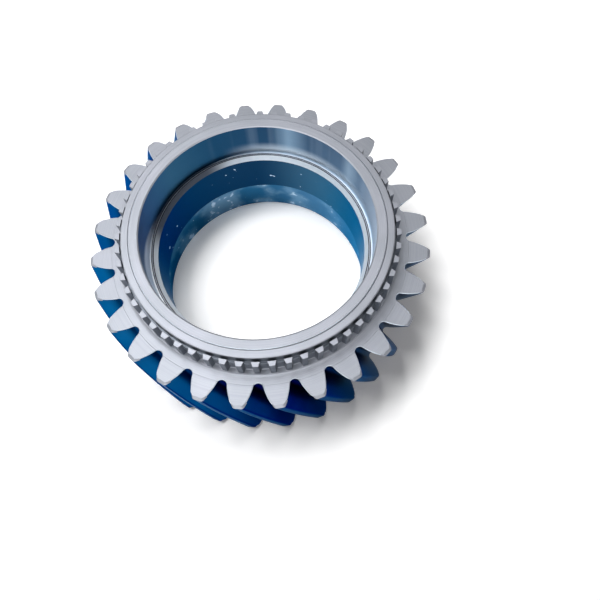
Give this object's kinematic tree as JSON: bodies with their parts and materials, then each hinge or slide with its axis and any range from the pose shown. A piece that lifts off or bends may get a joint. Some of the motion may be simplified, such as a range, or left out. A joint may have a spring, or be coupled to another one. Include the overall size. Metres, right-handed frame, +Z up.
{
  "type": "helical gear",
  "caption": "Helical gear ring with dog teeth around a raised collar and a stepped through bore that has a bearing seat at each end.",
  "frame": {"origin": "centre of the underside, on the bore axis", "axes": "+Z up along the bore axis, towards the dog teeth and the collar; +X through the middle of a tooth on the rim's upper face"},
  "size_m": [0.1448, 0.1448, 0.0633],
  "materials": {
    "gear": "machined faces, with a glossy blue coat on the tooth flanks, the tooth spaces and the lower bore"
  },
  "bodies": {
    "root": {"gear": "gear"}
  },
  "joints": []
}
